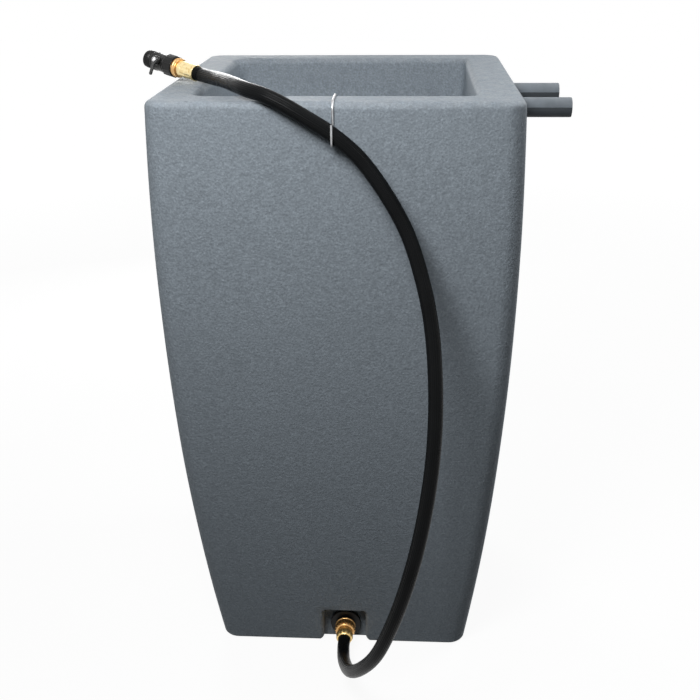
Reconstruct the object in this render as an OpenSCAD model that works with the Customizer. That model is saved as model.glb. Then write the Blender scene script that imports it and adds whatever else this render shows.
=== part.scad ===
// Rain barrel: a hollow square tank with a catch basin in its top, two overflow pipes,
// a bulkhead outlet in a notch at its foot, and a short hose with a shut-off valve on its end.
// The origin is on the ground under the middle of the tank. The outlet faces -Y, and the overflows +X.

/* [Tank] */
// Height of the tank, from the ground to the top of the rim
barrel_h = 908; // [700:1:1200]
// Width of the tank, and its depth, where it is widest
barrel_w = 514; // [440:1:640]
// Height at which the tank is widest
belly_z = 728; // [500:1:800]
// Radius of the long arc that each side follows
side_r = 5146; // [4000:1:9000]
// Radius of the upright corners
corner_r = 28; // [20:1:60]
// Radius of the edge round the foot
foot_r = 22; // [8:1:26]
// Radius of the outer edge of the rim
rim_outer_r = 10; // [6:1:16]
// Thickness of the moulded wall
wall = 5; // [3:0.5:5.5]

/* [Catch basin] */
// Width of the flat rim round the basin, edges included
rim_w = 61; // [45:1:90]
// Radius of the edge where the rim turns down into the basin
rim_inner_r = 10; // [6:1:16]
// Depth of the basin below the rim
basin_depth = 115; // [70:1:180]
// Radius of the upright corners of the basin
basin_corner_r = 18; // [14:1:40]
// Slope of the basin's sides, in degrees
basin_draft = 3; // [0:0.5:8]
// Radius where the basin's sides meet its floor
basin_floor_r = 12; // [6:1:13]
// Diameter of the inlet hole in the basin's floor
inlet_d = 150; // [90:1:200]

/* [Inlet screen] */
// Width of the flange that lies on the basin's floor
screen_flange_w = 11; // [6:1:20]
// Thickness of the screen's flange and ribs
screen_t = 3; // [2:0.5:5]
// Depth of the ring that locates the screen in the hole
screen_skirt_h = 12; // [8:1:25]
// Number of ribs under the mesh
screen_ribs = 6; // [4:1:10]
// Thickness of the woven mesh
mesh_t = 0.8; // [0.5:0.1:1.5]

/* [Outlet] */
// Width of the notch that the outlet stands in
notch_w = 70; // [60:1:100]
// Height of the notch
notch_h = 68; // [62:1:110]
// Middle of the notch, to the right of the tank's middle
notch_x = 4; // [-20:1:20]
// Distance of the notch's back wall from the tank's middle
notch_y = 190; // [180:1:195]
// Radius of the notch's upper corners
notch_r = 7; // [3:1:15]
// Height of the outlet above the ground
outlet_z = 30; // [28:1:40]
// Middle of the outlet, to the right of the tank's middle
outlet_x = 5; // [-10:1:15]
// Diameter of the outlet's flange
flange_d = 50; // [44:1:54]
// Thickness of the outlet's flange
flange_t = 6; // [4:0.5:8]
// Thickness of the rubber gasket
gasket_t = 2; // [1:0.5:4]
// Thickness of the locknut inside the tank
locknut_t = 8; // [6:0.5:12]

/* [Hose fittings] */
// Outer diameter of the male hose thread
thread_d = 26.4; // [24:0.1:30]
// Length of the male hose thread
thread_l = 15; // [12:0.5:20]
// Bore of the fittings
bore_d = 15; // [10:0.5:17]
// Wall of the brass swivel nut
nut_wall = 3.5; // [2.5:0.5:6]
// Length of the brass swivel nut
nut_l = 18; // [16:0.5:24]
// Thickness of the rubber hose washers
washer_t = 2.5; // [2:0.5:4]
// Length of the upper ferrule
ferrule_l = 32; // [26:1:40]
// Length of hose inside the lower ferrule
lower_ferrule_l = 18; // [14:1:26]
// Wall of the ferrules
ferrule_t = 1.1; // [0.8:0.1:1.4]
// Thickness of the brass flange at the hose's upper end
hex_t = 7; // [4:0.5:10]

/* [Hose] */
// Outer diameter of the hose
hose_d = 21; // [18:0.5:22]
// Bore of the hose
hose_bore = 14; // [12:0.5:16]
// Number of sides of the hose's tube
hose_sides = 12; // [8:1:12]

/* [Shut-off valve] */
// Direction in which the valve points, seen from above, in degrees from +X
valve_heading = 146; // [140:1:152]
// How far the valve points upwards, in degrees
valve_climb = 8; // [6:1:10]
// Turn of the valve's lever side round the valve's own length, in degrees
valve_roll = 112; // [100:1:120]
// Wall of the swivel collar
collar_wall = 3; // [2.5:0.5:5]
// Length of the swivel collar
collar_l = 18; // [16:0.5:24]
// Number of grip ribs round the collar
collar_ribs = 8; // [6:1:12]
// How far the valve's body stands out past its thread
body_step = 0.3; // [0.2:0.1:2]
// Distance from the body's near end to the middle of the ball
ball_gap = 11; // [11:0.5:16]
// Length of plain body past the ball's chamber
body_shoulder = 5; // [2:0.5:12]
// Diameter of the ball
ball_d = 15; // [13:0.5:16]
// Bore of the ball
ball_bore = 9; // [7:0.5:10]
// Diameter of the boss round the stem
boss_d = 14; // [12:0.5:18]
// Height of the boss above the middle of the ball
boss_h = 16.5; // [15:0.5:20]
// Diameter of the stem
stem_d = 6; // [4:0.5:7]
// Length of the lever from the stem's axis to its tip
lever_l = 23; // [18:1:40]
// Thickness of the lever
lever_t = 3; // [2:0.5:5]

/* [Hose hook] */
// Diameter of the hook's wire
hook_wire_d = 3; // [2:0.5:4]
// Place of the hook, to the right of the tank's middle
hook_x = 0; // [-5:1:5]
// Length of the hook's leg inside the basin
hook_leg = 22; // [12:1:40]
// Height of the hook's free tip
hook_tip_z = 884; // [876:1:890]

/* [Overflows] */
// Height of the overflow pipes
overflow_z = 871; // [820:1:878]
// Distance of each overflow pipe from the tank's middle
overflow_y = 70; // [40:1:120]
// Distance of the pipes' ends from the tank's middle
overflow_end = 336; // [290:1:400]
// Outer diameter of the overflow pipes
overflow_d = 29; // [24:0.5:36]
// Wall of the overflow pipes
overflow_t = 2.5; // [2:0.5:4]
// How far the pipes reach inside the tank
overflow_inside = 18; // [12:1:30]
// Wall of the rubber grommets
grommet_t = 2.3; // [1.5:0.1:4]
// Width of the grommets' lips
grommet_lip = 4; // [2:0.5:6]

/* [Hidden] */
$fn = 64;

// Clearance of a running or sliding fit, on each side
fit = 0.3;
// Overrun of a cut past the face that it opens
over = 1;

// Colours
shell_grey = [0.46, 0.50, 0.55];
pipe_grey = [0.50, 0.53, 0.57];
black_plastic = [0.10, 0.10, 0.11];
black_rubber = [0.06, 0.06, 0.07];
brass = [0.80, 0.62, 0.28];
steel = [0.66, 0.67, 0.69];
white_ptfe = [0.92, 0.92, 0.90];

// ---- Tank: rings of rounded squares, from the foot up the sides, over the rim and into the basin ----

corner_steps = 6;
side_steps = 12;
edge_steps = 5;
basin_floor_z = barrel_h - basin_depth;
basin_top_half = half_w(barrel_h) - rim_w;
basin_wall_top = barrel_h - rim_inner_r;
basin_wall_foot = basin_floor_z + basin_floor_r;
inner_corner_min = 2;

// Half of the tank's width at a height
function half_w(z) = barrel_w / 2 - side_r + sqrt(side_r * side_r - pow(z - belly_z, 2));

// Half of the basin's width at a height on its sides
function basin_half(z) = basin_top_half - (basin_wall_top - z) * tan(basin_draft);

// The skin's rings as [half width, corner radius, height], moved inwards by d
function foot_rings(d) = [
    for (i = [0 : edge_steps])
        let (a = 90 * i / edge_steps, r = foot_r - d)
        [half_w(foot_r) - foot_r + r * sin(a), corner_r - foot_r + r * sin(a), foot_r - r * cos(a)]
];
function side_rings(d) = [
    for (i = [1 : side_steps])
        let (z = foot_r + (barrel_h - rim_outer_r - foot_r) * i / side_steps)
        [half_w(z) - d, corner_r - d, z]
];
function rim_outer_rings(d) = [
    for (i = [1 : edge_steps])
        let (a = 90 * i / edge_steps, r = rim_outer_r - d, z = barrel_h - rim_outer_r)
        [half_w(z) - rim_outer_r + r * cos(a), corner_r - rim_outer_r + r * cos(a), z + r * sin(a)]
];
function rim_inner_rings(d) = [
    for (i = [0 : edge_steps])
        let (a = 90 * i / edge_steps, r = rim_inner_r - d)
        [basin_top_half + rim_inner_r - r * sin(a), basin_corner_r + rim_inner_r - r * sin(a),
         basin_wall_top + r * cos(a)]
];
function basin_rings(d) = [
    for (i = [0 : edge_steps])
        let (a = 90 * i / edge_steps, r = basin_floor_r + d, z = basin_wall_foot)
        [basin_half(z) - basin_floor_r + r * cos(a),
         max(basin_corner_r - basin_floor_r + r * cos(a), inner_corner_min), z - r * sin(a)]
];
function skin(d) = concat(
    foot_rings(d), side_rings(d), rim_outer_rings(d), rim_inner_rings(d), basin_rings(d)
);

// The points of one ring
function ring_points(ring) = [
    for (q = [0 : 3], i = [0 : corner_steps])
        let (
            a = 90 * q + 90 * i / corner_steps,
            middle = ring[0] - ring[1],
            sx = (q == 0 || q == 3) ? 1 : -1,
            sy = q < 2 ? 1 : -1
        )
        [sx * middle + ring[1] * cos(a), sy * middle + ring[1] * sin(a), ring[2]]
];

// A closed solid through a list of rings that have the same number of points
module loft(rings) {
    n = len(rings[0]);
    last = len(rings) - 1;
    sides = [
        for (j = [0 : last - 1], i = [0 : n - 1])
            let (k = (i + 1) % n)
            [j * n + i, (j + 1) * n + i, (j + 1) * n + k, j * n + k]
    ];
    foot = [for (i = [0 : n - 1]) i];
    top = [for (i = [n - 1 : -1 : 0]) last * n + i];
    polyhedron(points = [for (r = rings) each r], faces = concat(sides, [foot, top]), convexity = 8);
}

module skin_solid(d) {
    loft([for (r = skin(d)) ring_points(r)]);
}

// The notch's block, from its back wall out past the front, grown by d on every side
module notch_block(d) {
    w = notch_w + 2 * d;
    h = notch_h + d;
    r = notch_r + d;
    translate([notch_x, d - notch_y, 0])
        rotate([90, 0, 0])
            linear_extrude(barrel_w / 2)
                union() {
                    translate([-w / 2, -over]) square([w, h - r + over]);
                    translate([r - w / 2, -over]) square([w - 2 * r, h + over]);
                    for (side = [-1, 1])
                        translate([side * (w / 2 - r), h - r]) circle(r);
                }
}

module barrel_shell() {
    color(shell_grey)
        difference() {
            skin_solid(0);
            difference() {
                skin_solid(wall);
                notch_block(wall);
            }
            notch_block(0);
            translate([0, 0, basin_floor_z - wall - over])
                cylinder(d = inlet_d, h = wall + 2 * over);
            at_outlet()
                translate([0, 0, -wall - over]) cylinder(d = shank_d + 2 * fit, h = wall + 2 * over);
            for (side = [-1, 1])
                at_overflow(side)
                    translate([0, 0, -wall - over])
                        cylinder(d = grommet_d, h = 2 * wall + 2 * over);
        }
}

// ---- Inlet screen: lies on the basin's floor round the hole, and lifts out ----

screen_d = inlet_d - 2 * fit;
screen_ring_t = 3;
screen_z = basin_floor_z + fit;
rib_w = 3;
hub_d = 18;

module inlet_screen_frame() {
    color(black_plastic)
        translate([0, 0, screen_z])
            union() {
                difference() {
                    union() {
                        cylinder(d = inlet_d + 2 * screen_flange_w, h = screen_t);
                        translate([0, 0, -screen_skirt_h])
                            cylinder(d = screen_d, h = screen_skirt_h + over);
                    }
                    translate([0, 0, -screen_skirt_h - over])
                        cylinder(d = screen_d - 2 * screen_ring_t, h = screen_skirt_h + screen_t + 2 * over);
                }
                translate([0, 0, -screen_t])
                    cylinder(d = hub_d, h = screen_t);
                for (i = [0 : screen_ribs - 1])
                    rotate([0, 0, 360 * i / screen_ribs])
                        translate([hub_d / 2 - over, -rib_w / 2, -screen_t])
                            cube([(screen_d - hub_d) / 2 - screen_ring_t + 2 * over, rib_w, screen_t]);
            }
}

module inlet_screen_mesh() {
    color(steel)
        translate([0, 0, screen_z])
            cylinder(d = screen_d - 2 * screen_ring_t - fit, h = mesh_t);
}

// ---- Overflows: pipes pushed through rubber grommets in the right side ----

grommet_d = overflow_d + 2 * grommet_t;
grommet_lip_t = 2.5;
lip_gap = 0.9;
overflow_face = half_w(overflow_z);

// The place of an overflow on the tank's face, with +Z outwards
module at_overflow(side) {
    translate([overflow_face, side * overflow_y, overflow_z]) rotate([0, 90, 0]) children();
}

module overflow_pipe(side) {
    stop_w = 2.2;
    stop_t = 3;
    color(pipe_grey)
        at_overflow(side)
            difference() {
                union() {
                    translate([0, 0, -wall - overflow_inside])
                        cylinder(d = overflow_d, h = overflow_end - overflow_face + wall + overflow_inside);
                    translate([0, 0, lip_gap + grommet_lip_t + fit])
                        cylinder(d = overflow_d + 2 * stop_w, h = stop_t);
                }
                translate([0, 0, -wall - overflow_inside - over])
                    cylinder(
                        d = overflow_d - 2 * overflow_t,
                        h = overflow_end - overflow_face + wall + overflow_inside + 2 * over
                    );
            }
}

module overflow_grommet(side) {
    color(black_rubber)
        at_overflow(side)
            difference() {
                union() {
                    translate([0, 0, -wall - lip_gap - grommet_lip_t])
                        cylinder(d = grommet_d - fit, h = wall + 2 * lip_gap + 2 * grommet_lip_t);
                    for (z = [-wall - lip_gap - grommet_lip_t, lip_gap])
                        translate([0, 0, z]) cylinder(d = grommet_d + 2 * grommet_lip, h = grommet_lip_t);
                }
                translate([0, 0, -wall - 2 * grommet_lip_t - over])
                    cylinder(d = overflow_d + fit, h = wall + 4 * grommet_lip_t + 2 * over);
            }
}

module overflow_pipe_front() { overflow_pipe(-1); }
module overflow_pipe_rear() { overflow_pipe(1); }
module overflow_grommet_front() { overflow_grommet(-1); }
module overflow_grommet_rear() { overflow_grommet(1); }

// ---- Outlet: a bulkhead fitting through the notch's back wall ----

shank_d = 26;
shank_l = 18;
outlet_bore = 17;
locknut_af = 38;
thread_start = gasket_t + flange_t;
thread_end = thread_start + thread_l;

// The outlet's place on the notch's back wall, with +Z outwards
module at_outlet() {
    translate([outlet_x, -notch_y, outlet_z]) rotate([90, 0, 0]) children();
}

// A ring with a round hole
module washer(outer, inner, h) {
    difference() {
        cylinder(d = outer, h = h);
        translate([0, 0, -over]) cylinder(d = inner, h = h + 2 * over);
    }
}

module outlet_body() {
    color(black_plastic)
        at_outlet()
            difference() {
                union() {
                    translate([0, 0, gasket_t]) cylinder(d = flange_d, h = flange_t);
                    translate([0, 0, gasket_t]) cylinder(d = thread_d, h = flange_t + thread_l);
                    translate([0, 0, -wall - shank_l]) cylinder(d = shank_d, h = wall + shank_l + gasket_t + over);
                }
                translate([0, 0, -wall - shank_l - over])
                    cylinder(d = outlet_bore, h = wall + shank_l + thread_end + 2 * over);
            }
}

module outlet_gasket() {
    color(black_rubber)
        at_outlet() washer(flange_d - 4, shank_d + 2 * fit, gasket_t);
}

module outlet_locknut() {
    color(black_plastic)
        at_outlet()
            translate([0, 0, -wall - locknut_t])
                difference() {
                    cylinder(d = locknut_af / cos(30), h = locknut_t, $fn = 6);
                    translate([0, 0, -over]) cylinder(d = shank_d + fit, h = locknut_t + 2 * over);
                }
}

// ---- Lower coupling: swivel nut, washer, tail and ferrule, in line with the outlet ----

lip_t = 2.5;
tail_flange_d = thread_d - 2;
tail_flange_t = 2;
tail_neck_d = 17;
tail_d = hose_bore - 2 * fit;
nut_bore = thread_d + 2 * fit;
nut_d = nut_bore + 2 * nut_wall;
tail_at = thread_end + washer_t;
nut_end = tail_at + tail_flange_t + fit + lip_t;
lower_shoulder = nut_end + fit;
shoulder_t = 2;
lower_hose_at = lower_shoulder + shoulder_t;
lower_mouth = lower_hose_at + lower_ferrule_l;

module lower_hose_washer() {
    color(black_rubber)
        at_outlet() translate([0, 0, thread_end]) washer(tail_flange_d, bore_d + 1, washer_t);
}

module lower_coupling_nut() {
    grips = 8;
    grip_r = 2.2;
    color(brass)
        at_outlet()
            translate([0, 0, nut_end - nut_l])
                difference() {
                    rotate_extrude()
                        polygon([
                            [0, 0], [nut_d / 2 - 1, 0], [nut_d / 2, 1], [nut_d / 2, nut_l - 4],
                            [nut_d / 2 - 3, nut_l], [0, nut_l]
                        ]);
                    translate([0, 0, -over]) cylinder(d = nut_bore, h = nut_l - lip_t + over);
                    cylinder(d = tail_neck_d + 2 * fit, h = nut_l + over);
                    for (i = [0 : grips - 1])
                        rotate([0, 0, 360 * (i + 0.5) / grips])
                            translate([nut_d / 2 + grip_r * 0.55, 0, -over])
                                cylinder(r = grip_r, h = nut_l + 2 * over);
                }
}

module lower_coupling_tail() {
    color(brass)
        at_outlet()
            difference() {
                union() {
                    translate([0, 0, tail_at]) cylinder(d = tail_flange_d, h = tail_flange_t);
                    translate([0, 0, tail_at]) cylinder(d = tail_neck_d, h = lower_hose_at - tail_at);
                    translate([0, 0, lower_shoulder]) cylinder(d = hose_d, h = shoulder_t);
                    translate([0, 0, tail_at]) cylinder(d = tail_d, h = lower_mouth - tail_at);
                }
                translate([0, 0, tail_at - over])
                    cylinder(d = tail_d - 3, h = lower_mouth - tail_at + 2 * over);
            }
}

module lower_ferrule() {
    ball_r = hose_d / 2 + 3.2;
    color(brass)
        at_outlet()
            translate([0, 0, lower_shoulder])
                difference() {
                    h = lower_mouth - lower_shoulder;
                    inner = hose_d / 2 + fit;
                    rotate_extrude()
                        intersection() {
                            translate([0, h * 0.5]) circle(ball_r);
                            square([ball_r, h]);
                        }
                    translate([0, 0, -over]) cylinder(r = inner, h = h + 2 * over);
                }
}

// ---- Hose: a plain tube along points chosen by hand ----

// Where the hose leaves its upper ferrule
hose_end = [-211, -82, 921.5];
hose_route = [
    [5, -262, 30], [9, -302, 39], [22, -362, 72], [42, -405, 115], [64, -435, 165],
    [84, -451, 225], [103, -455, 290], [119, -447, 355], [131, -430, 420], [138, -410, 480],
    [140, -386, 540], [137, -360, 600], [130, -338, 650], [117, -318, 700], [98, -300, 750],
    [69, -285, 798], [36, -275, 840], [0, -270, 870], [-34, -268, 891], [-63, -264, 907],
    [-90, -256, 918], [-115, -236, 922], [-136, -201, 923], [-156, -160, 922], [-176, -123, 920]
];
hose_steps = 2;
// Length of hose inside the upper ferrule, and of the straight length before it
hose_tuck = 22;
hose_lead = 14;

// The direction of the valve's length
valve_dir = [cos(valve_climb) * cos(valve_heading), cos(valve_climb) * sin(valve_heading), sin(valve_climb)];

// The whole route, with its straight ends inside the ferrules
hose_line = concat(
    [
        [outlet_x, -notch_y - lower_hose_at, outlet_z],
        [outlet_x, -notch_y - lower_mouth, outlet_z]
    ],
    hose_route,
    [hose_end - hose_lead * valve_dir, hose_end, hose_end + hose_tuck * valve_dir]
);

function unit(v) = v / norm(v);

// A point between b and c on the smooth curve through a, b, c and d
function curve_point(a, b, c, d, t) =
    b + 0.5 * t * (c - a + t * (2 * a - 5 * b + 4 * c - d + t * (3 * (b - c) + d - a)));

function smooth(p) = concat(
    [
        for (i = [0 : len(p) - 2], s = [0 : hose_steps - 1])
            let (a = p[max(i - 1, 0)], d = p[min(i + 2, len(p) - 1)])
            curve_point(a, p[i], p[i + 1], d, s / hose_steps)
    ],
    [p[len(p) - 1]]
);

function direction(p, i) = unit(p[min(i + 1, len(p) - 1)] - p[max(i - 1, 0)]);

// Each ring's sideways direction, turned as little as possible from the ring before
function turned(p, i, side) =
    let (t = direction(p, i), s = unit(side - (side * t) * t))
    i == len(p) - 1 ? [s] : concat([s], turned(p, i + 1, s));

module hose() {
    line = smooth(hose_line);
    sideways = turned(line, 0, [1, 0, 0]);
    rings = [
        for (i = [0 : len(line) - 1])
            let (s = sideways[i], u = cross(direction(line, i), s))
            [
                for (k = [0 : hose_sides - 1])
                    let (a = 360 * k / hose_sides)
                    line[i] + hose_d / 2 * (cos(a) * s + sin(a) * u)
            ]
    ];
    color(black_rubber)
        difference() {
            loft(rings);
            at_outlet()
                translate([0, 0, lower_hose_at - over])
                    cylinder(d = hose_bore, h = lower_mouth - lower_hose_at + 2 * over);
            at_valve()
                cylinder(d = hose_bore, h = hose_tuck + over);
        }
}

// ---- Upper coupling: ferrule and male end ----

hex_at = ferrule_l + 1;
upper_thread_at = hex_at + hex_t;
upper_thread_end = upper_thread_at + thread_l - 3;

// The hose's upper end, with +Z along the valve and +X towards the lever's side
module at_valve() {
    translate(hose_end)
        rotate([0, 90 - valve_climb, valve_heading])
            rotate([0, 0, valve_roll])
                children();
}

module upper_ferrule() {
    dents = 6;
    dent_r = 3;
    color(brass)
        at_valve()
            difference() {
                cylinder(r = hose_d / 2 + fit + ferrule_t, h = ferrule_l);
                translate([0, 0, -over]) cylinder(r = hose_d / 2 + fit, h = ferrule_l + 2 * over);
                for (i = [0 : dents - 1], z = [0.35, 0.7])
                    rotate([0, 0, 360 * i / dents])
                        translate([hose_d / 2 + fit + ferrule_t + dent_r * 0.82, 0, ferrule_l * z])
                            sphere(dent_r);
            }
}

module upper_coupling() {
    color(brass)
        at_valve()
            difference() {
                union() {
                    translate([0, 0, 1]) cylinder(d = tail_d, h = upper_thread_end - 1);
                    translate([0, 0, hose_tuck]) cylinder(d = hose_d, h = hex_at - hose_tuck + over);
                    translate([0, 0, hex_at]) cylinder(d = thread_d + 2.5, h = hex_t);
                    translate([0, 0, hex_at]) cylinder(d = thread_d, h = upper_thread_end - hex_at);
                }
                translate([0, 0, -over]) cylinder(d = tail_d - 3, h = upper_thread_end + 2 * over);
            }
}

module upper_hose_washer() {
    color(black_rubber)
        at_valve() translate([0, 0, upper_thread_end]) washer(tail_flange_d, bore_d + 1, washer_t);
}

// ---- Valve: swivel collar, body, ball, seats, stem and lever ----

neck_flange_at = upper_thread_end + washer_t;
collar_d = nut_bore + 2 * collar_wall;
body_d = thread_d + 2 * body_step;
collar_end = neck_flange_at + tail_flange_t + fit + lip_t;
collar_at = collar_end - collar_l;
body_at = collar_end + fit;
ball_at = body_at + ball_gap;
body_l = 2 * ball_gap + body_shoulder;
outlet_at = body_at + body_l;
valve_end = outlet_at + thread_l;
seat_t = 2.2;
valve_bore = ball_bore;
chamber_d = ball_d + 2 * fit;
seat_d = chamber_d - fit;
seal_t = 2;
seal_d = stem_d + 4;

module valve_collar() {
    rib_r = 2.4;
    color(black_plastic)
        at_valve()
            difference() {
                translate([0, 0, collar_at]) cylinder(d = collar_d, h = collar_l);
                translate([0, 0, collar_at - over]) cylinder(d = nut_bore, h = collar_l - lip_t + over);
                translate([0, 0, collar_at]) cylinder(d = tail_neck_d + 2 * fit, h = collar_l + over);
                for (i = [0 : collar_ribs - 1])
                    rotate([0, 0, 360 * i / collar_ribs])
                        translate([collar_d / 2 + rib_r * 0.62, 0, collar_at - over])
                            cylinder(r = rib_r, h = collar_l + 2 * over);
            }
}

module valve_body() {
    color(black_plastic)
        at_valve()
            difference() {
                union() {
                    translate([0, 0, neck_flange_at]) cylinder(d = tail_flange_d, h = tail_flange_t);
                    translate([0, 0, neck_flange_at]) cylinder(d = tail_neck_d, h = body_at - neck_flange_at + over);
                    translate([0, 0, body_at]) cylinder(d = body_d, h = body_l);
                    translate([0, 0, outlet_at]) cylinder(d = thread_d, h = thread_l);
                    translate([0, 0, ball_at]) rotate([0, 90, 0]) cylinder(d = boss_d, h = boss_h);
                }
                translate([0, 0, neck_flange_at - over])
                    cylinder(d = valve_bore, h = valve_end - neck_flange_at + 2 * over);
                translate([0, 0, ball_at - chamber_d / 2])
                    cylinder(d = chamber_d, h = chamber_d);
                translate([0, 0, ball_at])
                    rotate([0, 90, 0]) {
                        cylinder(d = stem_d + 2 * fit, h = boss_h + over);
                        translate([0, 0, boss_h - seal_t]) cylinder(d = seal_d + fit, h = seal_t + over);
                    }
            }
}

// The ball with its bore along +Z when open, so closed it is turned across
module valve_ball() {
    color(steel)
        at_valve()
            translate([0, 0, ball_at])
                difference() {
                    sphere(d = ball_d);
                    rotate([90, 0, 0]) cylinder(d = ball_bore, h = 2 * ball_d, center = true);
                }
}

// A ring that the ball bears on, with a seat turned to the ball's own radius
module valve_seat(side) {
    color(white_ptfe)
        at_valve()
            translate([0, 0, ball_at])
                difference() {
                    translate([0, 0, side > 0 ? ball_d / 2 - seat_t : -ball_d / 2])
                        cylinder(d = seat_d, h = seat_t);
                    cylinder(d = ball_bore, h = 2 * ball_d, center = true);
                    sphere(d = ball_d + 2 * fit);
                }
}

module valve_seat_inner() { valve_seat(-1); }
module valve_seat_outer() { valve_seat(1); }

stem_top = boss_h + fit + lever_t;

module valve_stem() {
    color(steel)
        at_valve()
            translate([0, 0, ball_at])
                rotate([0, 90, 0])
                    translate([0, 0, ball_d / 2 + fit])
                        cylinder(d = stem_d, h = stem_top - ball_d / 2 - fit);
}

module valve_stem_seal() {
    color(black_rubber)
        at_valve()
            translate([0, 0, ball_at])
                rotate([0, 90, 0])
                    translate([0, 0, boss_h - seal_t])
                        washer(seal_d, stem_d + fit, seal_t);
}

module valve_lever() {
    arm_w = 4.5;
    hub_d = boss_d - 2;
    color(black_plastic)
        at_valve()
            translate([boss_h + fit, 0, ball_at])
                rotate([0, 90, 0])
                    difference() {
                        union() {
                            cylinder(d = hub_d, h = lever_t);
                            translate([-arm_w / 2, -lever_l + arm_w / 2, 0]) cube([arm_w, lever_l - arm_w / 2, lever_t]);
                            translate([0, -lever_l + arm_w / 2, 0]) cylinder(d = arm_w, h = lever_t);
                        }
                        translate([0, 0, -over]) cylinder(d = stem_d, h = lever_t + 2 * over);
                    }
}

module lever_screw() {
    head_d = 7;
    head_h = 2;
    color(steel)
        at_valve()
            translate([stem_top, 0, ball_at])
                rotate([0, 90, 0])
                    rotate_extrude()
                        polygon([[0, 0], [head_d / 2, 0], [head_d / 2, head_h * 0.5], [head_d / 2 - 1, head_h], [0, head_h]]);
}

// ---- Hose hook: one bent wire over the rim, with a cradle for the hose ----

hook_gap = 0.3;
cradle_z = 866;
hook_r = hook_wire_d / 2;
hook_top_z = barrel_h + hook_r + hook_gap;
hook_bend = rim_inner_r + hook_r + hook_gap;
hook_inner_y = tenth(basin_half(basin_wall_top - hook_leg) - hook_r - hook_gap);
hook_face_y = tenth(half_w(cradle_z) + hook_r + hook_gap);
cradle_r = tenth(hose_d / 2 + hook_r + 0.8);

// A length to the nearest tenth, so that the lengths of wire meet end to end
function tenth(v) = round(v * 10) / 10;

// A bent length of wire in the Y-Z plane: its bend's middle, its radius, and its start and sweep
module wire_bend(y, z, r, from, sweep) {
    translate([hook_x, y, z])
        rotate([90, 0, 90])
            rotate([0, 0, from])
                rotate_extrude(angle = sweep)
                    translate([r, 0]) circle(d = hook_wire_d, $fn = 24);
}

// A straight length of wire upwards from a point
module wire_up(y, z0, z1) {
    translate([hook_x, y, z0]) cylinder(d = hook_wire_d, h = z1 - z0, $fn = 24);
}

module hose_hook() {
    inner_y = -hook_inner_y;
    face_y = -hook_face_y;
    front_y = face_y - 2 * cradle_r;
    bend_z = hook_top_z - hook_bend;
    color(steel)
        union() {
            wire_up(inner_y, bend_z - hook_leg, bend_z);
            wire_bend(inner_y - hook_bend, bend_z, hook_bend, 0, 90);
            translate([hook_x, face_y + hook_bend, hook_top_z])
                rotate([-90, 0, 0])
                    cylinder(d = hook_wire_d, h = inner_y - face_y - 2 * hook_bend, $fn = 24);
            wire_bend(face_y + hook_bend, bend_z, hook_bend, 90, 90);
            wire_up(face_y, cradle_z, bend_z);
            wire_bend(face_y - cradle_r, cradle_z, cradle_r, 180, 180);
            wire_up(front_y, cradle_z, hook_tip_z);
            translate([hook_x, front_y, hook_tip_z]) sphere(d = hook_wire_d, $fn = 24);
        }
}

barrel_shell();
inlet_screen_frame();
inlet_screen_mesh();
overflow_pipe_front();
overflow_pipe_rear();
overflow_grommet_front();
overflow_grommet_rear();
outlet_body();
outlet_gasket();
outlet_locknut();
lower_hose_washer();
lower_coupling_nut();
lower_coupling_tail();
lower_ferrule();
hose();
upper_ferrule();
upper_coupling();
upper_hose_washer();
valve_collar();
valve_body();
valve_ball();
valve_seat_inner();
valve_seat_outer();
valve_stem();
valve_stem_seal();
valve_lever();
lever_screw();
hose_hook();
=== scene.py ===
"""Looks of the rain barrel: moulded tank, inlet screen, overflows, outlet, hose and shut-off valve."""
import math

import bmesh
import bpy
import numpy as np
from mathutils import Matrix, Vector, noise


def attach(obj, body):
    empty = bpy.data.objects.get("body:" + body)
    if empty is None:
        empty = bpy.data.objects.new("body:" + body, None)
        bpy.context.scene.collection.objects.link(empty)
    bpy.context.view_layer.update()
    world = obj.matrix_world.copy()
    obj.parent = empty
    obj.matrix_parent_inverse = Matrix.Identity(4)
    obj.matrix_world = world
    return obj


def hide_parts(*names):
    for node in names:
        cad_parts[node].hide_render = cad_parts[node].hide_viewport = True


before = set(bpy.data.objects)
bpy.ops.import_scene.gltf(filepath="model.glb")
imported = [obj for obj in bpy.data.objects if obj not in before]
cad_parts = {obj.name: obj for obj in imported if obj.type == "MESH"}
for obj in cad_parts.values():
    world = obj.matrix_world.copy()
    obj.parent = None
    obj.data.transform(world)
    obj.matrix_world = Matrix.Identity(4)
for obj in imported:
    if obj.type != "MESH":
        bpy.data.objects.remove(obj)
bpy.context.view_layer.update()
scene = bpy.context.scene
scene.view_settings.view_transform = "Standard"
MM = 0.001


# ---- Camera, light and floor ----

CAMERA_AT = (0.09905, -1.56572, 1.12399)
CAMERA_YAW, CAMERA_PITCH, CAMERA_ROLL = -3.451, 23.266, -0.537
CAMERA_LENS, SENSOR_WIDTH = 51.305, 36
FLOOR_HALF, FLOOR_DROP = 9, 0.0005


def place_camera():
    yaw, pitch, roll = (math.radians(a) for a in (CAMERA_YAW, CAMERA_PITCH, CAMERA_ROLL))
    ahead = Vector((math.sin(yaw) * math.cos(pitch), math.cos(yaw) * math.cos(pitch), -math.sin(pitch)))
    level = Vector((math.cos(yaw), -math.sin(yaw), 0))
    above = level.cross(ahead)
    right = math.cos(roll) * level + math.sin(roll) * above
    up = math.cos(roll) * above - math.sin(roll) * level
    data = bpy.data.cameras.new("camera")
    data.lens, data.sensor_width = CAMERA_LENS, SENSOR_WIDTH
    camera = bpy.data.objects.new("camera", data)
    turn = Matrix((right, up, -ahead)).transposed().to_4x4()
    camera.matrix_world = Matrix.Translation(CAMERA_AT) @ turn
    scene.collection.objects.link(camera)
    scene.camera = camera


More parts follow.
